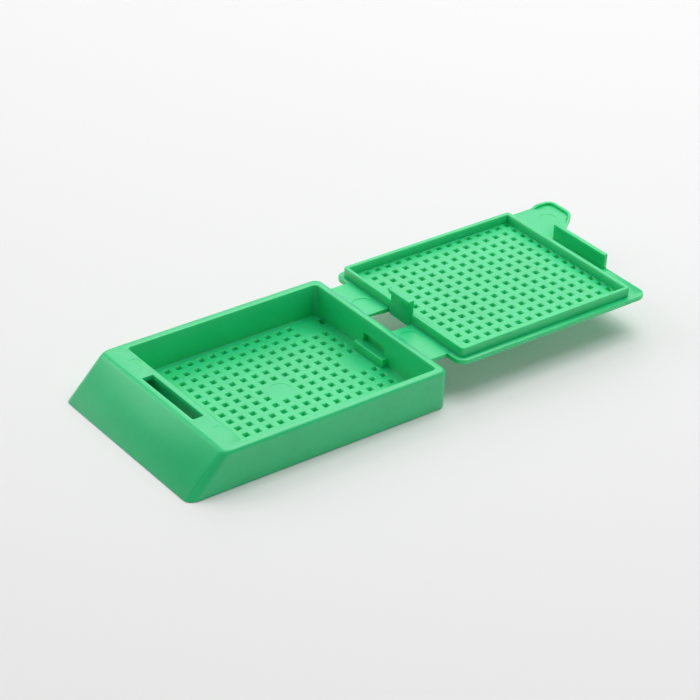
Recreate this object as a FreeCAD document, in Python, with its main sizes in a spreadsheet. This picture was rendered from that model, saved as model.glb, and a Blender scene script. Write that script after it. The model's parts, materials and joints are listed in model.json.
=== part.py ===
import FreeCAD, Part
import math
import os

import Sketcher

# A tissue cassette moulded in one piece, lying open: a perforated tray with a sloped front,
# and its perforated lid, which folds up and over on two short straps.
# Millimetres, +Z up. The origin is the middle of the tray's flat underside; the lid is towards +X.

SIZES = [
    # tray, outside
    ("base_length", 40.4),
    ("base_width", 28.5),
    ("rim_height", 5.6),
    ("slope_run", 5.4),
    ("base_corner_radius", 1.2),
    ("rim_edge_radius", 0.5),
    ("foot_chamfer", 0.15),
    # tray, inside
    ("side_wall", 1.25),
    ("rear_wall", 1.15),
    ("ledge_depth", 3.55),
    ("floor_thickness", 0.8),
    ("cavity_corner_radius", 0.6),
    # hollow behind the sloped face, open below
    ("slope_skin", 1.3),
    ("ledge_thickness", 0.8),
    ("front_wall", 0.8),
    # slot in the ledge for the lid's latch tab
    ("slot_length", 11.5),
    ("slot_width", 1.65),
    ("slot_setback", 1.05),
    # catch inside the rear wall for the lid's lug
    ("bar_length", 6.2),
    ("bar_depth", 0.95),
    ("bar_top", 2.05),
    ("recess_length", 4.6),
    ("recess_height", 1.3),
    ("recess_depth", 0.7),
    # perforations, one grid that tray and lid share
    ("hole_pitch", 1.79),
    ("hole_size", 0.9),
    ("hole_columns", 16),
    ("hole_rows", 14),
    ("blank_holes", 2),
    ("drain_offset", 10.85),
    # hinge line and the straps across it
    ("hinge_offset", 0.9),
    ("hinge_lift", 0.02),
    ("strap_width", 8.3),
    ("strap_offset", 6.7),
    ("strap_thickness", 0.3),
    ("strap_seat", 0.6),
    # lid plate, its places measured from the hinge line
    ("lid_thickness", 0.65),
    ("flange_gap", 1.5),
    ("flange_length", 32.8),
    ("flange_width", 27.4),
    ("flange_corner_radius", 1.5),
    # frame that drops inside the tray's walls
    ("frame_gap", 2.3),
    ("frame_length", 29.45),
    ("frame_clearance", 0.15),
    ("frame_wall", 0.6),
    ("frame_height", 1.35),
    ("frame_break", 5.6),
    ("frame_corner_radius", 0.4),
    # lug that drops behind the catch bar
    ("lug_gap", 2.15),
    ("lug_width", 4.3),
    ("lug_thickness", 0.6),
    ("lug_clearance", 0.25),
    ("lug_chamfer", 0.5),
    # latch tab at the lid's free end
    ("latch_length", 10.6),
    ("latch_thickness", 0.65),
    ("latch_height", 2.2),
    # thumb tab and the lip round it
    ("thumb_reach", 6.2),
    ("thumb_root_width", 9.2),
    ("thumb_tip_width", 4.8),
    ("thumb_corner_radius", 1.0),
    ("lip_start", 2.2),
    ("lip_height", 0.4),
    ("lip_width", 0.45),
]
NAMES = {alias for alias, _ in SIZES}

doc = FreeCAD.newDocument("tissue_cassette")
sheet = doc.addObject("Spreadsheet::Sheet", "Sizes")
for row, (alias, value) in enumerate(SIZES, start=1):
    sheet.set(f"A{row}", alias)
    sheet.set(f"B{row}", str(value))
    sheet.setAlias(f"B{row}", alias)
doc.recompute()

# Places along X and heights along Z that several features share, as formulas in the sheet's cells.
FRONT = "( 0 - base_length / 2 )"
REAR = "( base_length / 2 )"
LEDGE = f"( {FRONT} + slope_run )"
CAVITY_FRONT = f"( {LEDGE} + ledge_depth )"
CAVITY_REAR = f"( {REAR} - rear_wall )"
CAVITY_HALF = "( base_width / 2 - side_wall )"
FLOOR_MIDDLE = f"( ( {CAVITY_FRONT} + {CAVITY_REAR} ) / 2 )"
HINGE = f"( {REAR} + hinge_offset )"
HINGE_HEIGHT = "( rim_height + hinge_lift )"
FLANGE_NEAR = f"( {HINGE} + flange_gap )"
FLANGE_FAR = f"( {FLANGE_NEAR} + flange_length )"
FLANGE_HALF = "( flange_width / 2 )"
FLANGE_UNDER = "( rim_height - lid_thickness )"
LUG_FACE = f"( {HINGE} + lug_gap )"
WINDOW_HALF = "( strap_offset - strap_width / 2 )"


def bound(formula):
    """The formula with each size in it named as the sheet's own cell."""
    return " ".join(f"Sizes.{word}" if word in NAMES else word for word in formula.split())


def datum(body, role):
    """The body's own origin plane or axis of that role."""
    return next(item for item in body.Origin.OriginFeatures if item.Role == role)


def box(left, right, front, back):
    return [(left, front), (right, front), (right, back), (left, back)]


def sketch_of(body, name, plane, loops, lift="0"):
    """A sketch of closed straight-sided loops; both coordinates of each corner are formulas."""
    sketch = body.newObject("Sketcher::SketchObject", f"{name}_sketch")
    sketch.AttachmentSupport = (datum(body, plane), [""])
    sketch.MapMode = "FlatFace"
    sketch.setExpression("AttachmentOffset.Base.z", bound(lift))
    for corners in loops:
        start = sketch.GeometryCount
        count = len(corners)
        angles = [turn * math.tau / count for turn in range(count + 1)]
        ring = [FreeCAD.Vector(math.cos(angle), math.sin(angle), 0) for angle in angles]
        for index in range(count):
            sketch.addGeometry(Part.LineSegment(ring[index], ring[index + 1]), False)
        for index, corner in enumerate(corners):
            before = start + (index - 1) % count
            sketch.addConstraint(Sketcher.Constraint("Coincident", before, 2, start + index, 1))
            for kind, formula in zip(("DistanceX", "DistanceY"), corner):
                place = sketch.addConstraint(Sketcher.Constraint(kind, -1, 1, start + index, 1, 1.0))
                sketch.setExpression(f"Constraints[{place}]", bound(formula))
    return sketch


def shaped(body, kind, name, sketch, length, midplane=False):
    """A pad or a pocket of the sketch, to one side of its plane or half to each."""
    feature = body.newObject(f"PartDesign::{kind}", name)
    feature.Profile = sketch
    feature.setExpression("Length", bound(length))
    feature.Midplane = midplane
    return feature


def softened(body, base, kind, name, size, wanted):
    """A fillet or a chamfer on those edges of base that wanted() picks."""
    doc.recompute()
    edges = [f"Edge{place}" for place, edge in enumerate(base.Shape.Edges, start=1) if wanted(edge)]
    feature = body.newObject(f"PartDesign::{kind}", name)
    feature.Base = (base, edges)
    feature.setExpression("Radius" if kind == "Fillet" else "Size", bound(size))
    return feature


def cut(body, name, sketch, length, midplane=False):
    """A pocket that is sure to have taken something away."""
    doc.recompute()
    before = body.Shape.Volume
    feature = shaped(body, "Pocket", name, sketch, length, midplane)
    doc.recompute()
    if body.Shape.Volume >= before:
        raise SystemExit(f"{name} cut nothing")
    return feature


def at_height(height):
    return lambda edge: all(math.isclose(vertex.Z, height, abs_tol=1e-6) for vertex in edge.Vertexes)


def rising(edge):
    return not math.isclose(edge.BoundBox.ZLength, 0, abs_tol=1e-3)


def rising_within(left, right, half_width):
    """Picks the rising edges whose ends lie in that stretch of X and that near to Y = 0."""

    def wanted(edge):
        return rising(edge) and all(
            left - 1e-6 <= vertex.X <= right + 1e-6 and abs(vertex.Y) <= half_width + 1e-6
            for vertex in edge.Vertexes
        )

    return wanted


def place_of(formula):
    """The present value of a formula, in millimetres."""
    carrier = doc.addObject("App::FeaturePython", "Place")
    carrier.addProperty("App::PropertyFloat", "Value")
    carrier.setExpression("Value", bound(formula))
    doc.recompute()
    value = carrier.Value
    doc.removeObject(carrier.Name)
    return value


def add_strap_halves(body, name, near, far, thickness_far):
    """One half of both straps: flat on top at rim height, from near to far along X."""
    section = [
        (near, "rim_height"),
        (near, "rim_height - strap_thickness"),
        (far, f"rim_height - {thickness_far}"),
        (far, "rim_height"),
    ]
    for side, sign in (("near", "+"), ("far", "-")):
        start = f"0 {sign} strap_offset - strap_width / 2"
        profile = sketch_of(body, f"{name}_{side}", "XZ_Plane", [section], start)
        shaped(body, "Pad", f"{name}_{side}", profile, "strap_width")


def perforate(body, name, middle, mid_height, thickness):
    """The grid of square holes, centred on X = middle and Y = 0, through a plate."""
    left = f"( {middle} - ( hole_columns - 1 ) * hole_pitch / 2 - hole_size / 2 )"
    front = "( 0 - ( hole_rows - 1 ) * hole_pitch / 2 - hole_size / 2 )"
    corner = box(left, f"{left} + hole_size", front, f"{front} + hole_size")
    sketch = sketch_of(body, name, "XY_Plane", [corner], mid_height)
    hole = cut(body, f"{name}_first", sketch, f"2 * {thickness}", midplane=True)
    grid = body.newObject("PartDesign::LinearPattern", name)
    grid.Originals = [hole]
    grid.Direction = (datum(body, "X_Axis"), [""])
    grid.Direction2 = (datum(body, "Y_Axis"), [""])
    grid.setExpression("Occurrences", bound("hole_columns"))
    grid.setExpression("Occurrences2", bound("hole_rows"))
    grid.setExpression("Length", bound("( hole_columns - 1 ) * hole_pitch"))
    grid.setExpression("Length2", bound("( hole_rows - 1 ) * hole_pitch"))
    body.Tip = grid


def build_tray():
    """The tray up to its rim, with the wedge-shaped front and the fixed half of each strap."""
    body = doc.addObject("PartDesign::Body", "base_tray")
    side = [(FRONT, "0"), (REAR, "0"), (REAR, "rim_height"), (LEDGE, "rim_height")]
    block = shaped(body, "Pad", "block", sketch_of(body, "block", "XZ_Plane", [side]), "base_width", True)
    corners = softened(body, block, "Fillet", "corners", "base_corner_radius", rising)
    rim = softened(body, corners, "Fillet", "rim_edge", "rim_edge_radius", at_height(place_of("rim_height")))
    softened(body, rim, "Chamfer", "foot_edge", "foot_chamfer", at_height(0))

    room = box(CAVITY_FRONT, CAVITY_REAR, f"0 - {CAVITY_HALF}", CAVITY_HALF)
    room_sketch = sketch_of(body, "cavity", "XY_Plane", [room], "rim_height")
    cavity = cut(body, "cavity", room_sketch, "rim_height - floor_thickness")
    inside = rising_within(place_of(CAVITY_FRONT), place_of(CAVITY_REAR), place_of(CAVITY_HALF))
    softened(body, cavity, "Fillet", "cavity_corners", "cavity_corner_radius", inside)

    add_front_hollow(body)
    add_catch(body)
    add_strap_halves(body, "strap_root", f"{REAR} - strap_seat", HINGE, "strap_thickness")
    add_drains(body)
    perforate(body, "floor_holes", FLOOR_MIDDLE, "floor_thickness / 2", "floor_thickness")
    add_blanks(body)
    return body


def add_front_hollow(body):
    """The space behind the sloped face, and the slot down into it through the ledge."""
    ceiling = "( rim_height - ledge_thickness )"
    hollow = [
        (f"{FRONT} + slope_skin", "0"),
        (f"{CAVITY_FRONT} - front_wall", "0"),
        (f"{CAVITY_FRONT} - front_wall", ceiling),
        (f"{FRONT} + slope_skin + slope_run * {ceiling} / rim_height", ceiling),
    ]
    cut(body, "hollow", sketch_of(body, "hollow", "XZ_Plane", [hollow]), f"2 * {CAVITY_HALF}", True)
    slot_front = f"{LEDGE} + slot_setback"
    slot = box(slot_front, f"{slot_front} + slot_width", "0 - slot_length / 2", "slot_length / 2")
    slot_sketch = sketch_of(body, "slot", "XY_Plane", [slot], "rim_height - ledge_thickness / 2")
    cut(body, "slot", slot_sketch, "2 * ledge_thickness", True)


def add_catch(body):
    """The bar at the foot of the rear wall, and the blind recess above it."""
    bar = box(
        f"{CAVITY_REAR} - bar_depth",
        f"{CAVITY_REAR} + rear_wall / 2",
        "0 - bar_length / 2",
        "bar_length / 2",
    )
    bar_sketch = sketch_of(body, "catch_bar", "XY_Plane", [bar], "floor_thickness / 2")
    shaped(body, "Pad", "catch_bar", bar_sketch, "bar_top - floor_thickness / 2")
    recess = box(
        f"{CAVITY_REAR} - bar_depth / 2",
        f"{CAVITY_REAR} + recess_depth",
        "bar_top",
        "bar_top + recess_height",
    )
    cut(body, "catch_recess", sketch_of(body, "catch_recess", "XZ_Plane", [recess]), "recess_length", True)


def add_drains(body):
    """A square hole in each rear corner of the floor, against the rear wall."""
    holes = [
        box(
            f"{CAVITY_REAR} - hole_size",
            CAVITY_REAR,
            f"0 {sign} drain_offset - hole_size / 2",
            f"0 {sign} drain_offset + hole_size / 2",
        )
        for sign in ("-", "+")
    ]
    sketch = sketch_of(body, "drains", "XY_Plane", holes, "floor_thickness")
    cut(body, "drains", sketch, "2 * floor_thickness", True)


def add_blanks(body):
    """Solid squares where the floor has no holes: its middle, and its rear's middle and corners."""
    last = f"( {FLOOR_MIDDLE} + ( hole_columns - blank_holes ) * hole_pitch / 2 )"
    side = "( ( hole_rows - blank_holes ) * hole_pitch / 2 )"
    half = "blank_holes * hole_pitch / 2"
    squares = [
        box(f"{x} - {half}", f"{x} + {half}", f"{y} - {half}", f"{y} + {half}")
        for x, y in ((FLOOR_MIDDLE, "0"), (last, "0"), (last, side), (last, f"0 - {side}"))
    ]
    shaped(body, "Pad", "blanks", sketch_of(body, "blanks", "XY_Plane", squares), "floor_thickness")


def build_lid():
    """The lid lying open, its inner face up: plate, frame, lug, latch tab and thumb tab."""
    body = doc.addObject("PartDesign::Body", "lid")
    plate = box(FLANGE_NEAR, FLANGE_FAR, f"0 - {FLANGE_HALF}", FLANGE_HALF)
    plate_sketch = sketch_of(body, "flange", "XY_Plane", [plate], FLANGE_UNDER)
    flange = shaped(body, "Pad", "flange", plate_sketch, "lid_thickness")
    softened(body, flange, "Fillet", "flange_corners", "flange_corner_radius", rising)
    add_thumb_tab(body)

    window = box(f"{FLANGE_NEAR} - strap_seat", LUG_FACE, f"0 - {WINDOW_HALF}", WINDOW_HALF)
    window_sketch = sketch_of(body, "window", "XY_Plane", [window], "rim_height - lid_thickness / 2")
    cut(body, "window", window_sketch, "2 * lid_thickness", True)

    add_frame(body)
    add_lug(body)
    latch = box(f"{FLANGE_FAR} - latch_thickness", FLANGE_FAR, "0 - latch_length / 2", "latch_length / 2")
    latch_sketch = sketch_of(body, "latch_tab", "XY_Plane", [latch], FLANGE_UNDER)
    shaped(body, "Pad", "latch_tab", latch_sketch, "lid_thickness + latch_height")
    add_strap_halves(body, "strap_tip", HINGE, LUG_FACE, "lid_thickness")
    middle = f"( 2 * {HINGE} - {FLOOR_MIDDLE} )"
    perforate(body, "lid_holes", middle, "rim_height - lid_thickness / 2", "lid_thickness")
    return body


def add_thumb_tab(body):
    """The tab beyond the plate's free end, thicker by the lip, then lowered inside the lip."""
    root = f"( {FLANGE_FAR} - flange_corner_radius )"
    tip = f"( {FLANGE_FAR} + thumb_reach )"
    tab = [
        (root, FLANGE_HALF),
        (root, f"{FLANGE_HALF} - thumb_root_width"),
        (FLANGE_FAR, f"{FLANGE_HALF} - thumb_root_width"),
        (tip, f"{FLANGE_HALF} - thumb_tip_width"),
        (tip, FLANGE_HALF),
    ]
    tab_sketch = sketch_of(body, "thumb_tab", "XY_Plane", [tab], FLANGE_UNDER)
    block = shaped(body, "Pad", "thumb_tab", tab_sketch, "lid_thickness + lip_height")
    tip_now = place_of(tip)
    at_tip = rising_within(tip_now, tip_now, place_of(FLANGE_HALF))
    softened(body, block, "Fillet", "thumb_corners", "thumb_corner_radius", at_tip)
    inner = f"( {tip} - lip_width )"
    beyond = f"( {FLANGE_HALF} - thumb_root_width - lip_width )"
    lowered = [
        (f"{root} - lip_width", f"{FLANGE_HALF} + lip_width"),
        (f"{root} - lip_width", beyond),
        (inner, beyond),
        (inner, f"{FLANGE_HALF} - lip_width"),
        (f"{FLANGE_FAR} + lip_start", f"{FLANGE_HALF} - lip_width"),
        (f"{FLANGE_FAR} + lip_start", f"{FLANGE_HALF} + lip_width"),
    ]
    lowered_sketch = sketch_of(body, "thumb_floor", "XY_Plane", [lowered], "rim_height + lip_height")
    cut(body, "thumb_floor", lowered_sketch, "lip_height")


def add_frame(body):
    """The frame that stands on the plate, broken at the lug, and fits between the tray's walls."""
    near = f"( {HINGE} + frame_gap )"
    far = f"( {near} + frame_length )"
    half = f"( {CAVITY_HALF} - frame_clearance )"
    top = "( rim_height + frame_height )"
    outer = box(near, far, f"0 - {half}", half)
    outer_sketch = sketch_of(body, "frame", "XY_Plane", [outer], FLANGE_UNDER)
    block = shaped(body, "Pad", "frame", outer_sketch, "lid_thickness + frame_height")
    corners = rising_within(place_of(near), place_of(far), place_of(half))
    softened(body, block, "Fillet", "frame_corners", "frame_corner_radius", corners)
    room = box(
        f"{near} + frame_wall", f"{far} - frame_wall", f"0 - ( {half} - frame_wall )", f"{half} - frame_wall"
    )
    cut(body, "frame_room", sketch_of(body, "frame_room", "XY_Plane", [room], top), "frame_height")
    gap = box(f"{near} - frame_wall", f"{near} + frame_wall", "0 - frame_break / 2", "frame_break / 2")
    cut(body, "frame_gap", sketch_of(body, "frame_gap", "XY_Plane", [gap], top), "frame_height")


def add_lug(body):
    """The lug, bevelled on its hinge side, that comes down onto the catch bar when closed."""
    top = f"( 2 * {HINGE_HEIGHT} - bar_top - lug_clearance )"
    section = [
        (LUG_FACE, FLANGE_UNDER),
        (f"{LUG_FACE} + lug_thickness", FLANGE_UNDER),
        (f"{LUG_FACE} + lug_thickness", top),
        (f"{LUG_FACE} + lug_chamfer", top),
        (LUG_FACE, f"{top} - lug_chamfer"),
    ]
    shaped(body, "Pad", "lug", sketch_of(body, "lug", "XZ_Plane", [section]), "lug_width", True)


def check(part):
    """Stops if any object failed or the part is not one sound solid, then states its box."""
    for item in doc.Objects:
        if "Invalid" in item.State or "Error" in item.State:
            raise SystemExit(f"{item.Name} failed: {item.State}")
    if part.Shape.isNull() or not part.Shape.isValid() or len(part.Shape.Solids) != 1:
        raise SystemExit(f"{part.Label} is not one sound solid")
    spans = part.Shape.optimalBoundingBox()
    print(
        part.Label,
        f"{part.Shape.Volume:.1f} mm3",
        f"X {spans.XMin:.2f} to {spans.XMax:.2f}",
        f"Y {spans.YMin:.2f} to {spans.YMax:.2f}",
        f"Z {spans.ZMin:.2f} to {spans.ZMax:.2f}",
    )


parts = [build_tray(), build_lid()]
doc.recompute()
for part in parts:
    check(part)
os.makedirs("parts", exist_ok=True)
for part in parts:
    part.Shape.exportStep(f"parts/{part.Label}.step")
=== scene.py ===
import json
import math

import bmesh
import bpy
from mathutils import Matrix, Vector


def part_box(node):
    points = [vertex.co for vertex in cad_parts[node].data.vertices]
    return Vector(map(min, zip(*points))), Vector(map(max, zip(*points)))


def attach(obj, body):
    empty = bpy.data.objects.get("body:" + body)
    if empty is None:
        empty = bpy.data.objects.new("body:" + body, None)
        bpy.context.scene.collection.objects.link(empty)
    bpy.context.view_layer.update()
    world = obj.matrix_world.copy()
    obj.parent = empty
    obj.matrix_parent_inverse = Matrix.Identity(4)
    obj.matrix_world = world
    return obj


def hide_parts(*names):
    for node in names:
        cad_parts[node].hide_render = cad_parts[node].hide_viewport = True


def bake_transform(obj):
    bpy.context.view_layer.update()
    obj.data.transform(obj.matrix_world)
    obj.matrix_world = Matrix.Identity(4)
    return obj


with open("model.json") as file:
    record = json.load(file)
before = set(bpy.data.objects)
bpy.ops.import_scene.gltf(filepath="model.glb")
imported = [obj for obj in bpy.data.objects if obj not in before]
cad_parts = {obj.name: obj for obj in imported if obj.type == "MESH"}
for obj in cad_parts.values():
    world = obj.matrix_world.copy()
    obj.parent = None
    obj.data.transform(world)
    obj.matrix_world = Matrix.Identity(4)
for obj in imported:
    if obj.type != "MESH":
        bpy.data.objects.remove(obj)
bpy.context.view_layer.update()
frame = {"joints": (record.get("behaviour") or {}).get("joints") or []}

# %% [markdown]
# # A tissue cassette, moulded in one piece and lying open
#
# The real object is a small green plastic box: a tray with a perforated floor and a sloped face to
# write on, and a perforated lid that folds over on two thin straps. The frame above already holds its
# solids at their real size. This lesson builds the surfaces that are seen: every edge softened as a
# mould softens it, every hole of the floor, and the satin plastic. Blender works in metres, so a size
# read off the real thing is written in millimetres and multiplied by MM.

MM = 0.001
MERGE_DISTANCE = 0.002 * MM

# %% [markdown]
# ## Sizes that come from the frame
#
# The outer sizes are never typed in again here. They are read from the boxes of the two solids and
# from the hinge joint, so the surfaces built below always sit exactly where the solids are. Only the
# sizes that a box can't tell, such as a wall's thickness, are given as values of their own.

# %% Places read from the frame
tray_low, tray_high = (Vector(corner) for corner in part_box("base_tray"))
lid_low, lid_high = (Vector(corner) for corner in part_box("lid"))
hinge = Vector(frame["joints"][0]["pos_m"])
rim_z = tray_high.z
half_width = tray_high.y
toe_x = tray_low.x
hinge_offset = 0.9 * MM
rear_x = hinge.x - hinge_offset
flange_z = lid_low.z
flange_half = lid_high.y
tab_tip_x = lid_high.x
lug_top = lid_high.z
print("tray", [round(value / MM, 2) for value in (toe_x, rear_x, half_width, rim_z)])

# %% Walls and openings of the tray
slope_run = 5.3 * MM
corner_radius = 1.2 * MM
rim_radius = 0.5 * MM
foot_radius = 0.15 * MM
side_wall = 1.25 * MM
rear_wall = 1.15 * MM
ledge_depth = 3.55 * MM
ledge_thickness = 0.8 * MM
floor_top = 0.8 * MM
cavity_corner = 0.6 * MM
floor_edge = 0.1 * MM
slope_skin = 1.3 * MM
front_wall = 0.8 * MM
hollow_corner = 0.4 * MM
ledge_x = toe_x + slope_run
cavity_front = ledge_x + ledge_depth
cavity_rear = rear_x - rear_wall
cavity_half = half_width - side_wall

# %% [markdown]
# ## A few helpers
#
# Each part of the moulding starts as a box in a bmesh of its own, because selecting edges is easy
# while there is nothing else around. Its edges are bevelled, the faces where it opens into something
# are taken away, and it is gathered into one mesh. A void such as the cavity is made the same way:
# it is a box too, only seen from inside. Whatever is still open in a plane is closed at the end by
# one operator, triangle_fill, which copes with holes inside a face.

# %% Boxes, bevels and openings
def new_box(low, high):
    """A bmesh that holds one box between two corners."""
    low, high = Vector(low), Vector(high)
    size = Matrix.Diagonal((*(high - low), 1))
    shell = bmesh.new()
    bmesh.ops.create_cube(shell, size=1, matrix=Matrix.Translation((low + high) / 2) @ size)
    return shell


def edges_on(shell, axis, value):
    """The edges that lie in the plane where that axis has that value."""
    return [e for e in shell.edges if all(abs(v.co[axis] - value) < 1e-7 for v in e.verts)]


def upright_edges(shell):
    """The edges that climb, which are the ones at a box's corners."""
    return [e for e in shell.edges if abs(e.verts[0].co.z - e.verts[1].co.z) > 1e-6]


def bevel(shell, edges, radius, segments):
    """Rounds those edges."""
    bmesh.ops.bevel(
        shell, geom=edges, affect="EDGES", offset=radius, segments=segments, profile=0.5, material=-1
    )


def take_away(shell, axis, value):
    """Opens the shell where it has faces in that plane."""
    faces = [f for f in shell.faces if all(abs(v.co[axis] - value) < 1e-7 for v in f.verts)]
    bmesh.ops.delete(shell, geom=faces, context="FACES")


def gather(whole, shell, at=(0, 0, 0)):
    """Adds the shell to the whole, moved to a place, and lets the shell go."""
    carrier = bpy.data.meshes.new("carrier")
    shell.to_mesh(carrier)
    shell.free()
    before = len(whole.verts)
    whole.from_mesh(carrier)
    whole.verts.ensure_lookup_table()
    bmesh.ops.translate(whole, verts=whole.verts[before:], vec=at)
    bpy.data.meshes.remove(carrier)


def weld(whole, shell):
    """Joins a closed shell to a closed whole as one skin, and gives the new whole back."""
    solids = []
    for part in (whole, shell):
        bmesh.ops.remove_doubles(part, verts=part.verts, dist=MERGE_DISTANCE)
        bmesh.ops.recalc_face_normals(part, faces=part.faces)
        mesh = bpy.data.meshes.new("weld")
        part.to_mesh(mesh)
        part.free()
        solids.append(bpy.data.objects.new("weld", mesh))
        bpy.context.scene.collection.objects.link(solids[-1])
    union = solids[0].modifiers.new("Union", "BOOLEAN")
    union.operation = "UNION"
    union.solver = "EXACT"
    union.object = solids[1]
    evaluated = solids[0].evaluated_get(bpy.context.evaluated_depsgraph_get())
    joined = bmesh.new()
    joined.from_mesh(evaluated.to_mesh())
    evaluated.to_mesh_clear()
    for solid in solids:
        mesh = solid.data
        bpy.data.objects.remove(solid)
        bpy.data.meshes.remove(mesh)
    return joined


def close_plane(whole, axis, value):
    """Fills every open loop in a plane, leaving the loops inside it as holes."""
    edges = [e for e in edges_on(whole, axis, value) if len(e.link_faces) < 2]
    bmesh.ops.triangle_fill(whole, use_beauty=True, use_dissolve=False, edges=edges)


# %% [markdown]
# A mould can't leave a knife edge around an opening, so each mouth is rounded outwards. The open loop
# is extruded a few times, each copy a little higher and a little wider, along a quarter circle.
# Scaling the loop about its own middle moves straight sides out by exactly the wanted distance.

# %% Rounding a mouth outwards
def flare(shell, mouth_z, radius, steps):
    """Carries the open loop at mouth_z up and outwards along a quarter circle."""
    loop = edges_on(shell, 2, mouth_z)
    verts = {v for e in loop for v in e.verts}
    spans = [(min(v.co[k] for v in verts), max(v.co[k] for v in verts)) for k in (0, 1)]
    middle = Vector(((spans[0][0] + spans[0][1]) / 2, (spans[1][0] + spans[1][1]) / 2, 0))
    half = [(high - low) / 2 for low, high in spans]
    out_before, up_before = 0, 0
    for step in range(1, steps + 1):
        turn = math.pi / 2 * step / steps
        out, up = radius * (1 - math.cos(turn)), radius * math.sin(turn)
        grown = bmesh.ops.extrude_edge_only(shell, edges=loop)["geom"]
        loop = [item for item in grown if isinstance(item, bmesh.types.BMEdge)]
        loop = [e for e in loop if len(e.link_faces) == 1]
        verts = list({v for e in loop for v in e.verts})
        wider = [(size + out) / (size + out_before) for size in half]
        bmesh.ops.scale(shell, verts=verts, vec=(*wider, 1), space=Matrix.Translation(-middle))
        bmesh.ops.translate(shell, verts=verts, vec=(0, 0, up - up_before))
        out_before, up_before = out, up


# %% [markdown]
# Ejector pins push the warm plastic out of the mould and leave shallow round dents where they
# touched it. A dent is a capped circle a little below the surface, with its rim carried up to it.

# %% A pin mark
def pin_mark(radius, surface_z, at, depth=0.03 * MM):
    """The wall and floor of a shallow round dent, open at surface_z."""
    shell = bmesh.new()
    bmesh.ops.create_circle(shell, cap_ends=True, segments=28, radius=radius)
    rim = [e for e in shell.edges if len(e.link_faces) == 1]
    grown = bmesh.ops.extrude_edge_only(shell, edges=rim)["geom"]
    verts = [item for item in grown if isinstance(item, bmesh.types.BMVert)]
    bmesh.ops.translate(shell, verts=verts, vec=(0, 0, depth))
    bmesh.ops.translate(shell, verts=shell.verts, vec=(*at, surface_z - depth))
    return shell


# %% [markdown]
# ## The perforations
#
# The floor and the lid share one pattern of square holes. One cell of the pattern is made once: a
# square tube with rounded corners and a softened mouth, inside a square of plate. It narrows a little
# towards its foot, which is the draft that lets the mould's pins draw out. Copies of the cell side by
# side make the mesh, and merging the doubles joins them. A cell has only a few dozen faces, because
# there are over four hundred of them.

# %% One cell of the pattern
PITCH = 1.79 * MM
HOLE = 0.9 * MM
HOLE_MOUTH = 0.03 * MM
HOLE_CORNER = 0.09 * MM
DRAFT = 0.07 * MM
COLUMNS, ROWS = 16, 14
BLANK_MARK = 1.5 * MM


def square_loop(shell, half, z, segments=1):
    """A wire square of that half size, each side in that many segments."""
    made = bmesh.ops.create_grid(
        shell, x_segments=segments, y_segments=segments, size=half, matrix=Matrix.Translation((0, 0, z))
    )
    faces = list({f for v in made["verts"] for f in v.link_faces})
    if segments > 1:
        faces = bmesh.ops.dissolve_faces(shell, faces=faces, use_verts=False)["region"]
    bmesh.ops.delete(shell, geom=faces, context="FACES_ONLY")


def hole_cell(top, bottom):
    """A square of plate with one hole through it."""
    half = HOLE / 2
    mouth_z = top - HOLE_MOUTH
    shell = new_box((-half, -half, bottom), (half, half, mouth_z))
    bevel(shell, upright_edges(shell), HOLE_CORNER, 2)
    foot = [vert for vert in shell.verts if vert.co.z < (top + bottom) / 2]
    narrower = (half - DRAFT) / half
    bmesh.ops.scale(shell, verts=foot, vec=(narrower, narrower, 1))
    take_away(shell, 2, mouth_z)
    take_away(shell, 2, bottom)
    flare(shell, mouth_z, HOLE_MOUTH, 1)
    for z in (top, bottom):
        square_loop(shell, PITCH / 2, z)
        close_plane(shell, 2, z)
    return shell


def blank_block(top, bottom):
    """A solid square as large as four cells, with a pin mark in its middle."""
    shell = bmesh.new()
    gather(shell, pin_mark(BLANK_MARK, top, (0, 0)))
    for z in (top, bottom):
        square_loop(shell, PITCH, z, segments=2)
        close_plane(shell, 2, z)
    return shell


# %% The whole pattern
def perforate(whole, middle_x, top, bottom, blanks):
    """Lays the cells side by side, with a solid block at each blank's first column and row."""
    left, front = middle_x - PITCH * (COLUMNS - 1) / 2, -PITCH * (ROWS - 1) / 2
    covered = {(c + i, r + j) for c, r in blanks for i in (0, 1) for j in (0, 1)}
    carrier = bpy.data.meshes.new("cell")
    cell = hole_cell(top, bottom)
    cell.to_mesh(carrier)
    cell.free()
    pattern = bmesh.new()
    for column in range(COLUMNS):
        for row in range(ROWS):
            if (column, row) not in covered:
                before = len(pattern.verts)
                pattern.from_mesh(carrier)
                pattern.verts.ensure_lookup_table()
                shift = (left + PITCH * column, front + PITCH * row, 0)
                bmesh.ops.translate(pattern, verts=pattern.verts[before:], vec=shift)
    for column, row in blanks:
        place = (left + PITCH * (column + 0.5), front + PITCH * (row + 0.5), 0)
        gather(pattern, blank_block(top, bottom), place)
    bmesh.ops.remove_doubles(pattern, verts=pattern.verts, dist=PITCH / 1000)
    bpy.data.meshes.remove(carrier)
    print("pattern", COLUMNS * ROWS - len(covered), "holes,", len(pattern.faces), "faces")
    gather(whole, pattern)


# %% [markdown]
# ## Finishing a piece
#
# Once a mesh is closed, its doubles are merged and its normals are turned outwards. Faces are shaded
# smooth, edges steeper than a bevel's own steps stay sharp, and a Weighted Normal modifier keeps the
# large flat faces flat, so that only the narrow bevels catch the light.

# %% From bmesh to object
SHARP_ANGLE = math.radians(50)


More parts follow.
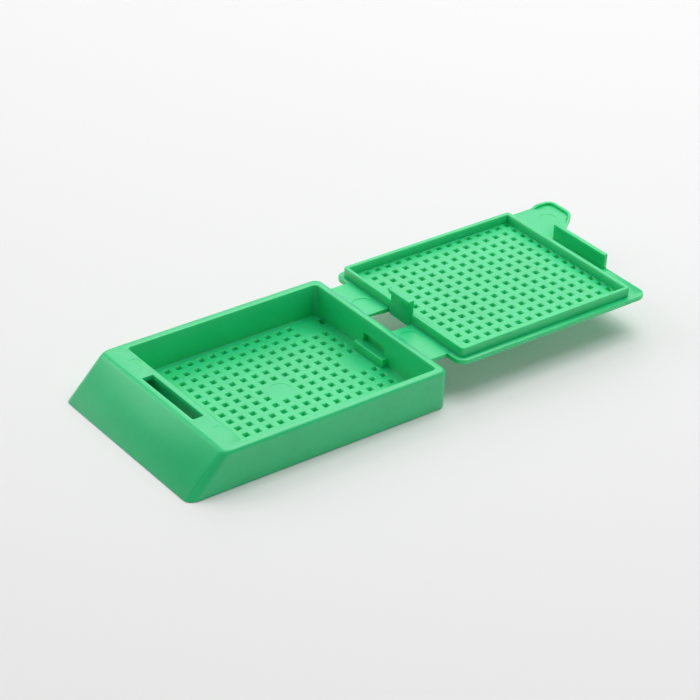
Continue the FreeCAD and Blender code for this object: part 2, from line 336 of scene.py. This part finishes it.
def finish_piece(whole, name, material):
    """Turns the bmesh into an object in the scene."""
    bmesh.ops.remove_doubles(whole, verts=whole.verts, dist=MERGE_DISTANCE)
    bmesh.ops.recalc_face_normals(whole, faces=whole.faces)
    for face in whole.faces:
        face.smooth = True
    for edge in whole.edges:
        edge.smooth = len(edge.link_faces) == 2 and edge.calc_face_angle() < SHARP_ANGLE
    open_edges = sum(not edge.is_manifold for edge in whole.edges)
    mesh = bpy.data.meshes.new(name)
    whole.to_mesh(mesh)
    whole.free()
    mesh.materials.append(material)
    piece = bpy.data.objects.new(name, mesh)
    bpy.context.scene.collection.objects.link(piece)
    weighted = piece.modifiers.new("Flat faces stay flat", "WEIGHTED_NORMAL")
    weighted.keep_sharp = True
    weighted.mode = "CORNER_ANGLE"
    weighted.weight = 100
    print(name, len(mesh.polygons), "faces,", open_edges, "open edges")
    return piece


# %% [markdown]
# ## The plastic
#
# The cassette is acetal, the slippery engineering plastic also called POM, dyed right through and
# moulded against steel that was spark-eroded to a fine matt. Much of the light travels just under its
# surface, so a thin edge glows, and its colour is never quite even where the melt flowed. The skin
# that froze first against the steel is smoother than what is below it and gives the waxy sheen, which
# is drawn as a thin coat. The finest grain of the spark erosion can't show at this size, so it is
# drawn about five times coarser.

# %% Colours and a node helper
def linear(code):
    """A hex colour as a screen shows it, turned into the linear values that shading works in."""
    channels = [int(code[place:place + 2], 16) / 255 for place in (0, 2, 4)]
    curve = [c / 12.92 if c <= 0.04045 else ((c + 0.055) / 1.055) ** 2.4 for c in channels]
    return (*curve, 1)


def add_node(tree, kind, settings=None, inputs=None, links=None):
    """Adds a node, sets what it is given and links its inputs from other nodes' outputs."""
    node = tree.nodes.new(kind)
    for name, value in (settings or {}).items():
        setattr(node, name, value)
    for name, value in (inputs or {}).items():
        node.inputs[name].default_value = value
    for name, (source, output) in (links or {}).items():
        tree.links.new(source.outputs[output], node.inputs[name])
    return node


# %% Acetal, spark-eroded satin
MELT_CLOUDS = 6.0 * MM
MELT_STREAKS = 1.4 * MM
ERODED_GRAIN = 0.16 * MM


def acetal(name, deep, pale):
    """Dyed acetal moulded against spark-eroded steel."""
    material = bpy.data.materials.new(name)
    material.use_nodes = True
    tree = material.node_tree
    shader = tree.nodes["Principled BSDF"]
    place = add_node(tree, "ShaderNodeTexCoord")
    clouds = add_node(
        tree, "ShaderNodeTexNoise", {"noise_dimensions": "3D"},
        {"Scale": 1 / MELT_CLOUDS, "Detail": 3.0, "Roughness": 0.55}, {"Vector": (place, "Object")},
    )
    streaks = add_node(
        tree, "ShaderNodeTexNoise", {"noise_dimensions": "3D"},
        {"Scale": 1 / MELT_STREAKS, "Detail": 2.0}, {"Vector": (place, "Object")},
    )
    blend = add_node(
        tree, "ShaderNodeMath", {"operation": "MULTIPLY_ADD"}, {1: 0.35},
        {0: (streaks, "Fac"), 2: (clouds, "Fac")},
    )
    colours = add_node(tree, "ShaderNodeValToRGB", links={"Fac": (blend, "Value")})
    colours.color_ramp.elements[0].position = 0.35
    colours.color_ramp.elements[0].color = linear(deep)
    colours.color_ramp.elements[1].position = 1.0
    colours.color_ramp.elements[1].color = linear(pale)
    sheen = add_node(
        tree, "ShaderNodeMapRange", inputs={"To Min": 0.36, "To Max": 0.46},
        links={"Value": (clouds, "Fac")},
    )
    grain = add_node(
        tree, "ShaderNodeTexNoise", {"noise_dimensions": "3D"},
        {"Scale": 1 / ERODED_GRAIN, "Detail": 2.0}, {"Vector": (place, "Object")},
    )
    bump = add_node(
        tree, "ShaderNodeBump", inputs={"Strength": 0.25, "Distance": 0.01 * MM},
        links={"Height": (grain, "Fac")},
    )
    tree.links.new(colours.outputs["Color"], shader.inputs["Base Color"])
    tree.links.new(sheen.outputs["Result"], shader.inputs["Roughness"])
    tree.links.new(bump.outputs["Normal"], shader.inputs["Normal"])
    shader.inputs["IOR"].default_value = 1.48
    shader.inputs["Subsurface Weight"].default_value = 0.9
    shader.inputs["Subsurface Radius"].default_value = (0.2, 1.0, 0.5)
    shader.inputs["Subsurface Scale"].default_value = 0.7 * MM
    shader.inputs["Coat Weight"].default_value = 0.6
    shader.inputs["Coat Roughness"].default_value = 0.3
    return material


tray_plastic = acetal("green acetal, tray", "10CC7F", "1CD68B")
lid_plastic = acetal("green acetal, lid", "10CC7F", "1CD68B")

# %% [markdown]
# ## The tray
#
# The outside is one box. Its front leans back to make the face that is written on, its upright edges
# are rounded, and then the rim and the foot. Everything else in the tray is a void.

# %% The tray's outside
tray = bmesh.new()
outside = new_box((toe_x, -half_width, 0), (rear_x, half_width, rim_z))
for vert in outside.verts:
    if vert.co.x < 0 and vert.co.z > rim_z / 2:
        vert.co.x += slope_run
bevel(outside, upright_edges(outside), corner_radius, 6)
bevel(outside, edges_on(outside, 2, rim_z), rim_radius, 4)
bevel(outside, edges_on(outside, 2, 0), foot_radius, 2)
take_away(outside, 2, rim_z)
take_away(outside, 2, 0)
gather(tray, outside)

# %% The cavity
mouth_radius = 0.18 * MM
mouth_z = rim_z - mouth_radius
cavity = new_box((cavity_front, -cavity_half, floor_top), (cavity_rear, cavity_half, mouth_z))
bevel(cavity, upright_edges(cavity), cavity_corner, 4)
bevel(cavity, edges_on(cavity, 2, floor_top), floor_edge, 2)
take_away(cavity, 2, floor_top)
take_away(cavity, 2, mouth_z)
flare(cavity, mouth_z, mouth_radius, 2)
take_away(cavity, 0, cavity_rear)
gather(tray, cavity)

# %% [markdown]
# The ledge behind the sloped face has a slot through it for the lid's latch, and below the ledge the
# moulding is hollow, so that the thick front would not sink in as it cooled. The hollow opens at the
# underside, and the slot runs down into it.

# %% The front hollow and the latch slot
ceiling = rim_z - ledge_thickness
hollow = new_box(
    (toe_x + slope_skin, -cavity_half, 0), (cavity_front - front_wall, cavity_half, ceiling)
)
for vert in hollow.verts:
    if vert.co.x < toe_x + 2 * slope_skin and vert.co.z > ceiling / 2:
        vert.co.x += slope_run * ceiling / rim_z
bevel(hollow, upright_edges(hollow), hollow_corner, 3)
take_away(hollow, 2, 0)
take_away(hollow, 2, ceiling)
gather(tray, hollow)

slot_front = ledge_x + 1.05 * MM
slot_width = 1.65 * MM
slot_half = 5.75 * MM
slot_corner = 0.2 * MM
slot_radius = 0.12 * MM
slot_mouth_z = rim_z - slot_radius
slot = new_box((slot_front, -slot_half, ceiling), (slot_front + slot_width, slot_half, slot_mouth_z))
bevel(slot, upright_edges(slot), slot_corner, 2)
take_away(slot, 2, ceiling)
take_away(slot, 2, slot_mouth_z)
flare(slot, slot_mouth_z, slot_radius, 2)
gather(tray, slot)

# %% The recess above the catch, and the drain holes
catch_top = 2.05 * MM
recess_half = 2.3 * MM
recess_depth = 0.7 * MM
recess_top = catch_top + 1.3 * MM
recess = new_box(
    (cavity_rear, -recess_half, catch_top), (cavity_rear + recess_depth, recess_half, recess_top)
)
take_away(recess, 0, cavity_rear)
gather(tray, recess)

drain_offset = 10.85 * MM
drain_inset = 0.44 * MM
reach = Vector((0.32 * MM, 0.55 * MM, 0))
for side in (-1, 1):
    drain_middle = Vector((cavity_rear - drain_inset, side * drain_offset, 0))
    drain = new_box(drain_middle - reach, drain_middle + reach + Vector((0, 0, floor_top)))
    take_away(drain, 2, 0)
    take_away(drain, 2, floor_top)
    gather(tray, drain)

# %% The floor and the closing planes
floor_middle = (cavity_front + cavity_rear) / 2
blanks = [(7, 6), (14, 6), (14, 0), (14, 12)]
perforate(tray, floor_middle, floor_top, 0, blanks)

ledge_mark = 0.85 * MM
ledge_mark_x = cavity_front - 1.15 * MM
ledge_mark_offset = 9.4 * MM
for side in (-1, 1):
    gather(tray, pin_mark(ledge_mark, rim_z, (ledge_mark_x, side * ledge_mark_offset)))
for axis, value in ((2, rim_z), (2, floor_top), (2, 0), (2, ceiling), (0, cavity_rear)):
    close_plane(tray, axis, value)

# %% [markdown]
# The catch bar stands on the floor against the rear wall. It is a closed box that is sunk a hair into
# both, and a union joins it to them as one skin.

# %% The catch bar
catch_depth = 0.95 * MM
catch_half = 3.1 * MM
catch_sink = 0.05 * MM
catch_soft = 0.12 * MM
catch = new_box(
    (cavity_rear - catch_depth, -catch_half, floor_top - catch_sink),
    (cavity_rear + catch_sink, catch_half, catch_top),
)
bevel(catch, list(catch.edges), catch_soft, 2)
tray = weld(tray, catch)
tray_piece = finish_piece(tray, "tray_moulding", tray_plastic)
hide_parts("base_tray")
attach(tray_piece, "base")

# %% [markdown]
# ## The lid
#
# Seen from above, the lid is one outline: a plate with rounded corners and a thumb tab at the far end,
# set back at the hinge side, where the straps join it and leave an opening between them. A flat face
# drawn once is given its rounded corners, extruded to the plate's thickness and softened all round.

# %% Drawing an outline
def outline_slab(points, bottom, top, soft):
    """A slab from corner points (x, y, radius of the corner), softened along its two outlines."""
    shell = bmesh.new()
    corners = [shell.verts.new((x, y, bottom)) for x, y, _ in points]
    shell.faces.new(corners)
    for corner, (_, _, radius) in zip(corners, points):
        if radius:
            bmesh.ops.bevel(
                shell, geom=[corner], affect="VERTICES", offset=radius, segments=4, profile=0.5, material=-1
            )
    grown = bmesh.ops.extrude_face_region(shell, geom=list(shell.faces))["geom"]
    verts = [item for item in grown if isinstance(item, bmesh.types.BMVert)]
    bmesh.ops.translate(shell, verts=verts, vec=(0, 0, top - bottom))
    bmesh.ops.recalc_face_normals(shell, faces=shell.faces)
    if soft:
        bevel(shell, edges_on(shell, 2, top), soft, 2)
        bevel(shell, edges_on(shell, 2, bottom), soft, 2)
    return shell


def run_out(rail, foot, along, climb):
    """Planes the end of a rail to a ramp that climbs from its foot in that direction."""
    slope = Vector((-along.x * climb, -along.y * climb, 1)).normalized()
    bmesh.ops.bisect_plane(
        rail, geom=[*rail.verts, *rail.edges, *rail.faces], plane_co=foot, plane_no=slope, clear_outer=True
    )
    bmesh.ops.edgeloop_fill(rail, edges=[e for e in rail.edges if len(e.link_faces) == 1])


# %% The plate with its tab and the setback for the straps
flange_near = hinge.x + 1.5 * MM
flange_far = flange_near + 32.8 * MM
lug_face = hinge.x + 2.15 * MM
setback_x = lug_face + 0.1 * MM
strap_middle = 6.7 * MM
strap_half = 4.15 * MM
strap_outer = strap_middle + strap_half
plate_corner = 1.5 * MM
tab_root = flange_half - 9.2 * MM
tab_inner = flange_half - 4.8 * MM
plate_outline = [
    (flange_near, -flange_half, plate_corner),
    (flange_far, -flange_half, plate_corner),
    (flange_far, tab_root, 0.8 * MM),
    (tab_tip_x, tab_inner, 1.1 * MM),
    (tab_tip_x, flange_half, 1.3 * MM),
    (flange_near, flange_half, plate_corner),
    (flange_near, strap_outer, 0),
    (setback_x, strap_outer, 0),
    (setback_x, -strap_outer, 0),
    (flange_near, -strap_outer, 0),
]
lid = bmesh.new()
plate = outline_slab(plate_outline, flange_z, rim_z, 0.1 * MM)
take_away(plate, 2, flange_z)
take_away(plate, 2, rim_z)
gather(lid, plate)
lid_middle = 2 * hinge.x - floor_middle
perforate(lid, lid_middle, rim_z, flange_z, [])
thumb_mark = 1.3 * MM
gather(lid, pin_mark(thumb_mark, rim_z, (flange_far + 2.6 * MM, flange_half - 3.6 * MM)))
close_plane(lid, 2, rim_z)
close_plane(lid, 2, flange_z)

# %% [markdown]
# A frame stands on the plate and drops inside the tray's walls when the lid is shut. It breaks only
# where the lug stands, and its two ends run into the lug's sides, so it is a bent strip: the outline
# goes out along its outside and comes back along its inside.

# %% The frame
SINK = 0.15 * MM
frame_near = hinge.x + 2.3 * MM
frame_far = frame_near + 29.45 * MM
frame_half = cavity_half - 0.15 * MM
frame_wall = 0.6 * MM
frame_corner = 0.55 * MM
frame_top = rim_z + 1.35 * MM
frame_end = 2.0 * MM
inside_near = frame_near + frame_wall
inside_far = frame_far - frame_wall
inside_half = frame_half - frame_wall
frame_outline = [
    (frame_near, -frame_end, 0),
    (frame_near, -frame_half, frame_corner),
    (frame_far, -frame_half, frame_corner),
    (frame_far, frame_half, frame_corner),
    (frame_near, frame_half, frame_corner),
    (frame_near, frame_end, 0),
    (inside_near, frame_end, 0),
    (inside_near, inside_half, 0),
    (inside_far, inside_half, 0),
    (inside_far, -inside_half, 0),
    (inside_near, -inside_half, 0),
    (inside_near, -frame_end, 0),
]
lid = weld(lid, outline_slab(frame_outline, rim_z - SINK, frame_top, 0.14 * MM))

# %% [markdown]
# The lug at the hinge side snaps into the recess above the tray's catch. Its top overhangs as a lip,
# which slides down the tray's rear wall and springs out under the recess's upper edge. The lug is
# drawn from the side, given its width along the hinge and stood upright. The latch tab at the far end
# is a plain upstanding plate. The thumb tab carries a low lip round its outer sides, which follows the
# tab's rounded corners and runs out into the tab at both ends.

# %% The lug, the latch tab and the thumb tab's lip
lug_half = 2.15 * MM
lug_soft = 0.14 * MM
lug_corner = 0.15 * MM
lip_corner = 0.06 * MM
lug_back = lug_face + 0.6 * MM
lug_nose = lug_face - 0.45 * MM
lug_profile = [
    (lug_back, flange_z, 0),
    (lug_back, lug_top, lug_corner),
    (lug_nose, lug_top, lug_corner),
    (lug_nose, lug_top - 0.6 * MM, lip_corner),
    (lug_face, lug_top - 0.85 * MM, lip_corner),
    (lug_face, flange_z, 0),
]
lug = outline_slab(lug_profile, -lug_half, lug_half, lug_soft)
bmesh.ops.rotate(lug, verts=lug.verts, cent=(0, 0, 0), matrix=Matrix.Rotation(math.pi / 2, 3, "X"))
lid = weld(lid, lug)

latch_half = 5.3 * MM
latch_soft = 0.1 * MM
latch_near = flange_far - 0.65 * MM
latch_top = rim_z + 2.2 * MM
latch = new_box((latch_near, -latch_half, flange_z + 0.2 * MM), (flange_far, latch_half, latch_top))
bevel(latch, list(latch.edges), latch_soft, 2)
lid = weld(lid, latch)

lip = 0.45 * MM
lip_top = rim_z + 0.4 * MM
lip_start = flange_far + 2.2 * MM
slant = Vector((tab_tip_x - flange_far, tab_inner - tab_root, 0)).normalized()
slant_inward = Vector((-slant.y, slant.x, 0)) * lip
lip_end = Vector((tab_tip_x, tab_inner, 0)) - slant * 3.6 * MM
turn_inner = tab_inner + lip * (1 - slant.y) / slant.x
lip_outline = [
    (lip_start, flange_half, 0),
    (lip_start, flange_half - lip, 0),
    (tab_tip_x - lip, flange_half - lip, 0.85 * MM),
    (tab_tip_x - lip, turn_inner, 0.75 * MM),
    (lip_end.x + slant_inward.x, lip_end.y + slant_inward.y, 0),
    (lip_end.x, lip_end.y, 0),
    (tab_tip_x, tab_inner, 1.1 * MM),
    (tab_tip_x, flange_half, 1.3 * MM),
]
lip_rail = outline_slab(lip_outline, rim_z - SINK, lip_top, 0)
run_out(lip_rail, Vector((lip_start, flange_half, rim_z - SINK)), Vector((1, 0, 0)), 0.4)
run_out(lip_rail, lip_end + Vector((0, 0, rim_z - SINK)), slant, 0.25)
crest = [e for e in edges_on(lip_rail, 2, lip_top) if e.calc_face_angle() > math.radians(40)]
bevel(lip_rail, crest, 0.1 * MM, 2)
lid = weld(lid, lip_rail)
lid_piece = finish_piece(lid, "lid_moulding", lid_plastic)
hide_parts("lid")
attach(lid_piece, "lid")

# %% [markdown]
# ## The straps
#
# Two thin straps join tray and lid and bend each time the lid is shut. A strap is its own piece,
# and beyond the hinge it thickens into the lid's plate. It is cut across many times over the bend,
# because a mesh can only bend where it has edges. Its two end faces stay flat at every angle and are
# shaded flat.

# %% Building the straps
STRAP_THIN = 0.3 * MM
SHEET_STEP = 0.01 * MM
CUT_SPACING = 0.14 * MM
CUT_SHIFT = 0.03 * MM
STRAP_MARK = 1.6 * MM
STRAP_MARK_OFFSET = 5.15 * MM
STRAP_MARK_DEPTH = 0.07 * MM
strap_near = rear_x - 0.45 * MM
strap_far = lug_face + 0.35 * MM
strap_top = rim_z - SHEET_STEP


def cut_across(shell, x):
    """Gives the shell a row of edges at that place along X."""
    everything = [*shell.verts, *shell.edges, *shell.faces]
    bmesh.ops.bisect_plane(shell, geom=everything, plane_co=(x, 0, 0), plane_no=(1, 0, 0))


for side, name in ((-1, "strap_near"), (1, "strap_far")):
    middle = side * strap_middle
    strap = new_box(
        (strap_near, middle - strap_half, rim_z - STRAP_THIN), (strap_far, middle + strap_half, strap_top)
    )
    cut_across(strap, flange_near)
    for vert in strap.verts:
        if vert.co.x > hinge.x and vert.co.z < rim_z - STRAP_THIN / 2:
            vert.co.z = flange_z - SHEET_STEP
    take_away(strap, 2, strap_top)
    mark_place = (hinge.x, side * STRAP_MARK_OFFSET)
    gather(strap, pin_mark(STRAP_MARK, strap_top, mark_place, STRAP_MARK_DEPTH))
    close_plane(strap, 2, strap_top)
    for step in (-3.5, -2.5, -1.5, -0.5, 0.5, 1.5, 2.5, 3.5):
        cut_across(strap, hinge.x + step * CUT_SPACING + CUT_SHIFT)
    piece = finish_piece(strap, name, tray_plastic)
    for face in piece.data.polygons:
        if abs(face.normal.y) > 0.99:
            face.use_smooth = False
    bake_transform(piece)

# %% [markdown]
# ## The studio
#
# The cassette lies on one plain pale floor under a ring of soft boxes, most of them behind it and on
# its right. The light from above and behind makes the top faces pale and glossy and leaves the upright
# faces deeper in colour, and the floor gives its bounce and its contact shade to the plastic. The
# floor lies a hair below the tray's foot, so that the two don't share a plane.

# %% The floor
FLOOR_DROP = 0.03 * MM
floor_shape = bmesh.new()
bmesh.ops.create_grid(floor_shape, x_segments=1, y_segments=1, size=3)
bmesh.ops.translate(floor_shape, verts=floor_shape.verts, vec=(0, 0, -FLOOR_DROP))
floor_mesh = bpy.data.meshes.new("studio_floor")
floor_shape.to_mesh(floor_mesh)
floor_shape.free()

matt_white = bpy.data.materials.new("matt white laminate")
matt_white.use_nodes = True
laminate = matt_white.node_tree.nodes["Principled BSDF"]
laminate.inputs["Base Color"].default_value = linear("E8E8E8")
laminate.inputs["Roughness"].default_value = 0.9
floor_mesh.materials.append(matt_white)
floor = bpy.data.objects.new("studio_floor", floor_mesh)
bpy.context.scene.collection.objects.link(floor)

# %% Soft boxes
BOX_SIZE = 0.35
BOX_DISTANCE = 0.55


def direction(heading, climb):
    """The level heading and height angle, in degrees, as a direction; heading 0 is along +Y."""
    turn, rise = math.radians(heading), math.radians(climb)
    return Vector((math.cos(rise) * math.sin(turn), math.cos(rise) * math.cos(turn), math.sin(rise)))


def soft_box(name, heading, climb, power):
    """A square area light that looks at the hinge from that heading and height, in degrees."""
    data = bpy.data.lights.new(name, "AREA")
    data.shape = "SQUARE"
    data.size = BOX_SIZE
    data.energy = power
    light = bpy.data.objects.new(name, data)
    way = direction(heading, climb)
    light.location = Vector((hinge.x, 0, 0)) + way * BOX_DISTANCE
    light.rotation_euler = (-way).to_track_quat("-Z", "Y").to_euler()
    bpy.context.scene.collection.objects.link(light)


soft_box("overhead", 0, 90, 0.59)
soft_box("behind, high", 38, 60, 0.74)
soft_box("right, high", 98, 60, 1.16)
soft_box("behind on the left, low", -34, 32, 0.62)
soft_box("behind, low", 38, 32, 0.40)

world = bpy.data.worlds.new("studio")
world.use_nodes = True
background = world.node_tree.nodes["Background"]
background.inputs["Color"].default_value = (1, 1, 1, 1)
background.inputs["Strength"].default_value = 0.27
bpy.context.scene.world = world
bpy.context.scene.view_settings.view_transform = "Standard"

# %% [markdown]
# ## The camera
#
# A long lens stands in front and to the left and looks down at about thirty degrees. The camera is
# set by the point it looks at, its heading, its height angle, its distance and a small roll.

# %% Camera
HEADING = 38.65
HEIGHT_ANGLE = 31.26
ROLL = 2.87
DISTANCE = 331.0 * MM
aim = Vector((hinge.x - 8.0 * MM, -2.5 * MM, 5.0 * MM))
away = direction(HEADING + 180, HEIGHT_ANGLE)
camera_data = bpy.data.cameras.new("camera")
camera_data.lens = 130.94
camera_data.sensor_width = 36
camera_data.clip_start = 0.01
camera = bpy.data.objects.new("camera", camera_data)
camera.rotation_mode = "QUATERNION"
roll = Matrix.Rotation(math.radians(ROLL), 3, "Z").to_quaternion()
camera.rotation_quaternion = (-away).to_track_quat("-Z", "Y") @ roll
camera.location = aim + away * DISTANCE
bpy.context.scene.collection.objects.link(camera)
bpy.context.scene.camera = camera
print("camera", [round(value / MM, 2) for value in camera.location])
